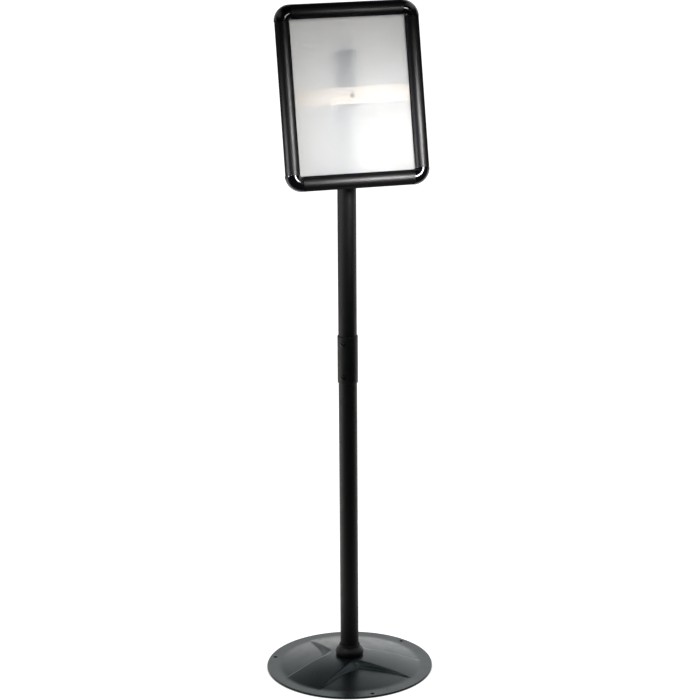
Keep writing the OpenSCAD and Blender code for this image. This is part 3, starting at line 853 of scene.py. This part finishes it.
lo, hi = extent("tilt_bolt")
bolt_head_x = lo.x + 3.5
publish(moved(joined(hex_body(M5_NUT, lo.x, bolt_head_x, True, False),
                     threaded_up(M5, bolt_head_x - OVERLAP, hi.x, M5_PITCH)),
              ALONG_TILT), zinc, "fastener_zinc", "tilt_bolt")
lo, hi = extent("tilt_nut")
publish(moved(nut(M5_NUT, M5_HOLE, lo.x, hi.x), ALONG_TILT), zinc, "fastener_zinc", "tilt_nut")
WASHER_X, WASHER_T = 15.85, 0.8
washers = [ring(M5_HOLE, 5, x, x + WASHER_T, 0.15) for x in (WASHER_X, -WASHER_X - WASHER_T)]
publish(moved(joined(*washers), ALONG_TILT), zinc, "fastener_zinc", "tilt_washers")

PIVOT_HOLE = 2.05


def make_tilt_plate():
    lo, hi = extent("tilt_plate", SIGN)
    axis_z = lo.z + EAR_R
    body = u_plate(u_outline(hi.x, PLATE_T, lo.z - 1, hi.z - PLATE_T, hi.z, BEND_R),
                   [((0, y, 0), (1, 0, 0), (0, 0, 1)) for y in (lo.y, hi.y)],
                   side_outline(hi.y, hi.z - PLATE_T, hi.z, axis_z),
                   [((x, 0, 0), (0, 0, 1), (0, 1, 0)) for x in (-hi.x - 1, hi.x + 1)])
    cut(body, rod(PIVOT_HOLE, hi.z - 6, hi.z + 2, 40))
    cut(body, moved(rod(M5_HOLE, -20, 20, 40), shifted(0, 0, axis_z) @ turned(90, "Y")))
    publish(body, mast_black, "mast_black", "tilt_plate", place=SIGN, bevel=0.3)


make_tilt_plate()
publish_ring("friction_washer", PIVOT_HOLE, 0.2, nylon, "nylon", SIGN)

# ---------------------------------------------------------------- crossbar and pivot

BAR_LO, BAR_HI = extent("crossbar", SIGN)
BAR_SCREW_R, BAR_SCREW_HEAD, BAR_SCREW_HEAD_T = 1.5, 2.8, 1.6
BAR_SCREW_HOLE = 1.55
screw_lo, screw_hi = extent("crossbar_screws", SIGN)
BAR_SCREW_X = screw_hi.x - BAR_SCREW_HEAD


def screw_hole(side, z0, z1):
    """A tool that drills one of the crossbar's screw holes, at the left (-1) or the right (1)."""
    return moved(rod(BAR_SCREW_HOLE, z0, z1, 32), shifted(side * BAR_SCREW_X, 0, 0))


def make_crossbar():
    outline = soften(rectangle(BAR_LO.x, BAR_HI.x, BAR_LO.y, BAR_HI.y), 0.8)
    plate = prism(outline, BAR_LO.z, BAR_HI.z)
    below, above = BAR_LO.z - 1, BAR_HI.z + 1
    sink = [(0, below), (PIVOT_HOLE, below), (PIVOT_HOLE, BAR_HI.z - 1.75), (3.8, BAR_HI.z),
            (4.8, above), (0, above)]
    cut(plate, lathe(sink, 48, closed=False))
    for side in (-1, 1):
        cut(plate, screw_hole(side, below, above))
    publish(plate, bar_white, "bar_white", "crossbar", place=SIGN, bevel=0.22)


def make_bar_screws():
    screws = []
    for side in (-1, 1):
        screw = slotted_screw(BAR_SCREW_R, 3, BAR_SCREW_HEAD, BAR_SCREW_HEAD_T, 30, 0.8, 0.5)
        at = shifted(side * BAR_SCREW_X, 0, screw_lo.z + BAR_SCREW_HEAD_T)
        screws.append(moved(screw, at @ turned(180, "X")))
    publish(joined(*screws), zinc, "fastener_zinc", "crossbar_screws", place=SIGN)


def make_pivot_screw():
    """A countersunk cross-head screw."""
    lo, hi = extent("pivot_screw", SIGN)
    sink, shank = 1.6, 2.0
    outline = [(0, hi.z), (hi.x, hi.z), (shank, hi.z - sink), (0, hi.z - sink)]
    head = lathe(soften(outline, 0.12, closed=False), 60, closed=False)
    for turn in (0, 90):
        slot = prism(rectangle(-2, 2, -0.4, 0.4), hi.z - 0.8, hi.z + 1)
        cut(head, moved(slot, turned(turn, "Z")))
    thread = threaded_rod(shank, lo.z, hi.z - sink + OVERLAP, 0.7)
    publish(joined(head, thread), zinc_dull, "fastener_zinc", "pivot_screw", place=SIGN)


make_crossbar()
make_bar_screws()
make_pivot_screw()
publish_ring("pivot_washer", PIVOT_HOLE, 0.15, place=SIGN)
lo, hi = extent("pivot_nut", SIGN)
publish(nut(hi.x, PIVOT_HOLE, lo.z, hi.z), zinc, "fastener_zinc", "pivot_nut", place=SIGN)

# ---------------------------------------------------------------- snap frame

# Sections are drawn with s outwards from the opening's edge and z towards the viewer
RAIL_W, CROWN, RAIL_T = 25.0, 10.0, 1.4
ARC_R = ((RAIL_W / 2) ** 2 + CROWN ** 2) / (2 * CROWN)  # the rail's outer curve and its centre
ARC_S, ARC_Z = RAIL_W / 2, CROWN - ARC_R
HINGE_S, HINGE_Z = RAIL_W - 2.4, -1.0
LIP_Z, BEAD_R, SOCKET_R, BORE_R = 0.3, 1.2, 2.5, 1.25
MOUTH = (148, 302)  # the socket's opening, in degrees
FLOOR, BACK, REST_TOP = -4.3, -5.5, -1.9
WALL = 1.2
CORNER_R = 2.5
OPEN_W = 2 * (JOINTS["rail_right_hinge"]["pos_m"][0] / MM - HINGE_S)
top_hinge = SIGN.inverted() @ Vector(JOINTS["rail_top_hinge"]["pos_m"])
OPEN_H = 2 * (top_hinge.y - HINGE_S)


def on_circle(radius, z):
    """Distance from the crown line where a profile circle of that radius is at height z."""
    return math.sqrt(radius ** 2 - (z - ARC_Z) ** 2)


def angle_of(s, z):
    """Direction of a point from the profile circles' centre, in degrees."""
    return math.degrees(math.atan2(z - ARC_Z, s - ARC_S))


def rail_section():
    """Convex shell with a rounded lip, a catch rib and a socket that turns on the track's bead."""
    inner = ARC_R - RAIL_T
    hinge = (HINGE_S, HINGE_Z)
    lip_out, lip_in = ARC_S - on_circle(ARC_R, LIP_Z), ARC_S - on_circle(inner, LIP_Z)
    outside = arc(ARC_S, ARC_Z, ARC_R, angle_of(lip_out, LIP_Z),
                  angle_of(ARC_S + on_circle(ARC_R, HINGE_Z), HINGE_Z), 60)
    socket = arc(*hinge, SOCKET_R, -2, MOUTH[1] - 360, 10)
    bore = arc(*hinge, BORE_R, MOUTH[1] - 360, MOUTH[0], 26)
    inside = arc(ARC_S, ARC_Z, inner, angle_of(ARC_S + on_circle(inner, HINGE_Z), HINGE_Z),
                 angle_of(lip_in, LIP_Z), 90)
    clear = [p for p in inside if math.dist(p, hinge) > SOCKET_R + 0.02]
    meet = math.degrees(math.atan2(clear[0][1] - HINGE_Z, clear[0][0] - HINGE_S))
    back = arc(*hinge, SOCKET_R, MOUTH[0], meet, 6)
    rib_start, rib_end, rib_z = 16.2, 15.2, 4.6
    roots = [(s, ARC_Z + math.sqrt(inner ** 2 - (s - ARC_S) ** 2)) for s in (rib_start, rib_end)]
    rib = [roots[0], (rib_start, rib_z), (rib_end, rib_z), roots[1]]
    before = [p for p in clear if p[0] > rib_start]
    after = [p for p in clear if p[0] < rib_end]
    return soften(outside + socket + bore + back + before + rib + after, 0.32, sharp=30)


def track_section(stop):
    """Lower extrusion: floor, sheet rest, sheet stop, post and hinge bead."""
    post, neck, edge, stop_top = 18.0, 0.5, HINGE_S + 0.4, 2.5
    bead_from = 180 - math.degrees(math.asin(neck / BEAD_R))
    bead = arc(HINGE_S, HINGE_Z, BEAD_R, bead_from, -bead_from, 30)
    return soften([(0, BACK), (edge, BACK), (edge, FLOOR), (post + WALL, FLOOR),
                   (post + WALL, HINGE_Z - neck)] + bead[::-1] +
                  [(post, HINGE_Z + neck), (post, FLOOR), (stop + WALL, FLOOR),
                   (stop + WALL, stop_top), (stop, stop_top), (stop, FLOOR),
                   (WALL, FLOOR), (WALL, REST_TOP), (0, REST_TOP)], 0.3, sharp=50, steps=3)


def cap_section():
    """Moulded corner: the rail's curve a little proud, a skirt, a floor and the sheets' slot."""
    proud, shell, skirt, skirt_out, skirt_in = 0.25, 2.0, -3.0, 24, 22
    outer, inner = ARC_R + proud, ARC_R + proud - shell

    def ends(radius):
        return (angle_of(ARC_S - on_circle(radius, LIP_Z), LIP_Z),
                angle_of(ARC_S + on_circle(radius, skirt), skirt))

    top = BACK + 1.1
    outside = arc(ARC_S, ARC_Z, outer, *ends(outer), 64)
    inside = arc(ARC_S, ARC_Z, inner, *ends(inner)[::-1], 48)
    return soften(outside + [(skirt_out, skirt), (skirt_out, BACK), (0, BACK), (0, REST_TOP),
                             (WALL, REST_TOP), (WALL, top), (skirt_in, top), (skirt_in, skirt)]
                  + inside, 0.35, sharp=30)


def along_side(section, turn, reach, length, shift=0.0, pieces=2):
    """Extrudes a section (outward, normal) along one side of the opening."""
    a = math.radians(turn)
    out, up = Vector((math.cos(a), math.sin(a), 0)), Vector((-math.sin(a), math.cos(a), 0))
    stations = []
    for i in range(pieces):
        t = length / 2 - length * i / (pieces - 1)
        stations.append((out * reach + up * (t + shift), out, Vector((0, 0, 1))))
    return sweep(section, stations)


SIDES = {"left": 180, "right": 0, "top": 90, "bottom": -90}
RAIL_GAP, SHEET_GAP = 0.3, 0.4
SHEET_HI = extent("cover_sheet", SIGN)[1]
CHANNEL_S, CHANNEL_W = 13.7, 4.0  # where the springs and the corner keys lie in the tracks


def make_side(side, turn):
    """A snap rail and the track under it. The upright tracks are notched for the crossbar."""
    upright = side in ("left", "right")
    reach, run, sheet = ((OPEN_W / 2, OPEN_H, SHEET_HI.x) if upright
                         else (OPEN_H / 2, OPEN_W, SHEET_HI.y))
    run -= 2 * CORNER_R
    rail = along_side(rail_section(), turn, reach, run - 2 * RAIL_GAP)
    finish = rail_upright if upright else rail_level
    publish(rail, finish, "rail_black", "snap_rail_" + side, place=SIGN, smooth=30)
    track = along_side(track_section(sheet - reach + SHEET_GAP), turn, reach, run)
    if upright:
        sign_of = 1 if side == "right" else -1
        x0, x1 = sorted((sign_of * (OPEN_W / 2 - 1), sign_of * (BAR_HI.x + 0.2)))
        cut(track, prism(rectangle(x0, x1, BAR_LO.y - 0.1, BAR_HI.y + 0.1), FLOOR, 2),
            screw_hole(sign_of, BACK - 1, FLOOR + 1))
    publish(track, track_black, "track_black", "track_" + side, place=SIGN, smooth=30)


for side, turn in SIDES.items():
    make_side(side, turn)


def at_corner(side, up):
    """Matrix that puts a corner drawn in the +x, +y quarter at one of the sign's corners."""
    return (Matrix.Diagonal((side, up, 1, 1))
            @ shifted(OPEN_W / 2 - CORNER_R, OPEN_H / 2 - CORNER_R, 0))


def put_at_corner(obj, side, up):
    moved(obj, at_corner(side, up))
    if side * up < 0:  # mirrored once, so inside out
        obj.data.flip_normals()
    return obj


def make_corner_cap(name, side, up):
    section = [(s + CORNER_R, z) for s, z in cap_section()]
    gap = 0.05  # between the cap's ends and the tracks
    lean = math.degrees(gap / (CORNER_R + RAIL_W))
    stations = []
    for i in range(41):
        a = math.radians(lean + (90 - 2 * lean) * i / 40)
        out = Vector((math.cos(a), math.sin(a), 0))
        stations.append((Vector((0, 0, 0)), out, Vector((0, 0, 1))))
    cap = put_at_corner(sweep(section, stations), side, up)
    publish(cap, cap_gloss, "cap_gloss", name, place=SIGN, smooth=35)


CORNERS = {"top_left": (-1, 1), "top_right": (1, 1),
           "bottom_left": (-1, -1), "bottom_right": (1, -1)}
for name, (side, up) in CORNERS.items():
    make_corner_cap("corner_cap_" + name, side, up)


def make_keys():
    """Four steel angles, flat in the tracks' channel."""
    inner, arm, low, thick = CHANNEL_S + CORNER_R, 28.0, FLOOR + 0.1, 2
    outer = inner + CHANNEL_W
    outline = ([(-arm, inner), (0, inner)] + arc(0, 0, inner, 88, 2, 20)
               + [(inner, 0), (inner, -arm), (outer, -arm), (outer, 0)]
               + arc(0, 0, outer, 2, 88, 30) + [(0, outer), (-arm, outer)])
    keys = [put_at_corner(prism(soften(outline, 0.6, sharp=40), low, low + thick), side, up)
            for side, up in CORNERS.values()]
    publish(joined(*keys), zinc, "fastener_zinc", "corner_keys", place=SIGN, bevel=0.2)


make_keys()


def spring_section():
    """An arch of 0.5 mm strip that fills the channel's width."""
    r, strip, top, foot = CHANNEL_W / 2, 0.5, 4.3, FLOOR + 0.1
    centre, end = CHANNEL_S + r, CHANNEL_S + CHANNEL_W
    return soften([(CHANNEL_S, foot)] + arc(centre, top - r, r, 180, 0, 24)
                  + [(end, foot), (end - strip, foot)] + arc(centre, top - r, r - strip, 0, 180, 20)
                  + [(CHANNEL_S + strip, foot)], 0.1, sharp=40, steps=2)


def make_springs():
    """Two to a side, a quarter of the opening's length from its middle."""
    springs, length = [], 10
    for place in (-1, 1):
        for turn, way in ((0, place), (180, -place)):
            springs.append(along_side(spring_section(), turn, OPEN_W / 2, length, way * OPEN_H / 4))
        for turn, way in ((90, -place), (-90, place)):
            springs.append(along_side(spring_section(), turn, OPEN_H / 2, length, way * OPEN_W / 4))
    publish(joined(*springs), spring_steel, "spring_steel", "rail_springs", place=SIGN)


make_springs()

for node, material, slot_name in (("cover_sheet", cover_film, "cover_film"),
                                  ("back_sheet", frosted, "frosted_sheet")):
    lo, hi = extent(node, SIGN)
    outline = soften(rectangle(lo.x, hi.x, lo.y, hi.y), 1.5, steps=6)
    publish(prism(outline, lo.z, hi.z), material, slot_name, node, place=SIGN)

# ---------------------------------------------------------------- floor, light, camera

FLOOR_RADIUS, FLOOR_DROP = 30.0, 0.0005


def make_floor():
    """White to the camera, with a painted contact shadow; a softer, uneven light to everything
    else.
    """
    bm = bmesh.new()
    bmesh.ops.create_circle(bm, cap_ends=True, segments=96, radius=FLOOR_RADIUS)
    mesh = bpy.data.meshes.new("studio_floor")
    bm.to_mesh(mesh)
    bm.free()
    floor = bpy.data.objects.new("studio_floor", mesh)
    bpy.context.scene.collection.objects.link(floor)
    floor.location.z = -FLOOR_DROP
    f = Finish("floor_white", (0.9, 0.9, 0.9), 0.8).paint(0.01, 0.7).gloss(0.03, 2)
    f.set(Emission_Color=(1, 1, 1, 1), Specular_IOR_Level=0.0)
    # The camera sees the floor's glow dimmed by ambient occlusion: a painted contact shadow round
    # the base
    contact = f.node("ShaderNodeAmbientOcclusion")
    contact.inputs["Distance"].default_value = 0.004
    glow = f.levels(contact.outputs["AO"], 0.35, 0.9, 0.0, 0.95)
    link(f.nt, glow, f.bsdf.inputs["Emission Strength"])
    # What the object's surfaces see of the floor: lit behind the object, dim in front and far away
    split = f.node("ShaderNodeSeparateXYZ")
    link(f.nt, f.coord, split.inputs[0])
    near = f.levels(split.outputs["Y"], -0.3, 0.45, 0.03, 1.7)
    far = f.levels(split.outputs["Y"], 0.5, 2.4, 1.0, 0.06)
    bounce = f.node("ShaderNodeEmission")
    link(f.nt, f.mix(far, (1, 0.94, 0.87), (1, 0.985, 0.96)), bounce.inputs["Color"])
    link(f.nt, f.times(near, far), bounce.inputs["Strength"])
    path = f.node("ShaderNodeLightPath")
    final = f.mix_shaders(path.outputs["Is Camera Ray"], bounce.outputs[0], f.bsdf.outputs[0])
    link(f.nt, final, f.out.inputs["Surface"])
    mesh.materials.append(f.mat)
    floor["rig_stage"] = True


make_floor()


def area_light(name, location, target, size, power, colour, spread, height=None):
    """A round or oval lamp, unseen by the camera, whose light leaves within the spread angle."""
    data = bpy.data.lights.new(name, "AREA")
    data.shape, data.size, data.size_y = "ELLIPSE", size, height or size
    data.energy, data.color = power, colour
    data.spread = math.radians(spread)
    lamp = bpy.data.objects.new(name, data)
    bpy.context.scene.collection.objects.link(lamp)
    lamp.location = location
    lamp.rotation_mode = "QUATERNION"
    lamp.rotation_quaternion = (Vector(target) - Vector(location)).to_track_quat("-Z", "Y")
    lamp.visible_camera = False


WHITE, WARM, COOL = (1.0, 1.0, 1.0), (1.0, 0.985, 0.95), (0.94, 0.97, 1.0)
area_light("key", (0.21, -0.6, 1.11), SIGN @ Vector((70, -80, 0)), 0.16, 0.355, WARM, 47)
area_light("key_left", (0.21, -0.6, 1.13), SIGN @ Vector((-100, -110, 0)), 0.17, 0.13, WARM, 36,
           height=0.3)
area_light("side", (-0.8, -0.27, 0.98), (0, 0, 0.65), 0.16, 0.9, COOL, 120)
area_light("base_soft", (0, -0.16, 0.5), (0, -0.06, 0), 0.34, 0.06, WHITE, 90)
area_light("base_glint", (0.116, -0.1, 0.446), (0, -0.045, 0.015), 0.07, 0.006, WHITE, 60)


def make_world():
    """White studio: bright behind the object, darker towards the camera's side and the left."""
    world = bpy.data.worlds.new("studio")
    bpy.context.scene.world = world
    world.use_nodes = True
    nt = world.node_tree
    background = nt.nodes["Background"]
    coord = nt.nodes.new("ShaderNodeTexCoord")
    split = nt.nodes.new("ShaderNodeSeparateXYZ")
    link(nt, coord.outputs["Generated"], split.inputs[0])

    def ramp(axis, *limits):
        return map_range(nt, split.outputs[axis], *limits, smooth=True)

    def times(a, b):
        return arithmetic(nt, "MULTIPLY", a, b)

    depth = ramp("Y", -0.1, 0.75, 0.03, 1.3)
    height = times(ramp("Z", 0.0, 0.12, 0.2, 1.0), ramp("Z", 0.12, 0.34, 1.5, 0.8))
    height = times(height, ramp("Z", 0.5, 0.73, 1.0, 0.2))
    light = times(times(depth, height), ramp("X", -0.1, 0.36, 0.5, 1.15))
    # Two soft panels high up at the sides, for the highlights along the rails and the pockets
    band = times(ramp("Z", 0.4, 0.62, 0.0, 1.0), ramp("Z", 0.75, 0.93, 1.0, 0.0))
    for limits in ((0.2, 0.8, 0.0, 0.9), (-0.8, -0.2, 0.4, 0.0)):
        light = arithmetic(nt, "ADD", light, times(band, ramp("X", *limits)))
    path = nt.nodes.new("ShaderNodeLightPath")
    seen = arithmetic(nt, "MAXIMUM", light, path.outputs["Is Camera Ray"])
    link(nt, seen, background.inputs["Strength"])
    background.inputs["Color"].default_value = (1, 1, 1, 1)


make_world()

CAMERA_AWAY, CAMERA_UP = 4.1532, 1.8042
CAMERA_AZIMUTH, CAMERA_PAN, CAMERA_DOWN = (math.radians(a) for a in (15.568, 1.349, 15.671))
FOCAL_SHARE = 3.62571  # focal length over the picture's width
CENTRE_OFF = (-0.07859, -0.04779)  # picture centre off the lens axis, in picture widths


def make_camera():
    data = bpy.data.cameras.new("camera")
    data.sensor_width = 36
    data.lens = FOCAL_SHARE * data.sensor_width
    data.shift_x, data.shift_y = CENTRE_OFF
    data.clip_start, data.clip_end = 0.05, 100
    camera = bpy.data.objects.new("camera", data)
    bpy.context.scene.collection.objects.link(camera)
    camera.location = (-CAMERA_AWAY * math.sin(CAMERA_AZIMUTH),
                       -CAMERA_AWAY * math.cos(CAMERA_AZIMUTH), CAMERA_UP)
    yaw = CAMERA_AZIMUTH + CAMERA_PAN
    level = math.cos(CAMERA_DOWN)
    ahead = Vector((math.sin(yaw) * level, math.cos(yaw) * level, -math.sin(CAMERA_DOWN)))
    camera.rotation_mode = "QUATERNION"
    camera.rotation_quaternion = ahead.to_track_quat("-Z", "Y")
    bpy.context.scene.camera = camera


make_camera()
bpy.context.scene.view_settings.view_transform = "Standard"

lo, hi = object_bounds()
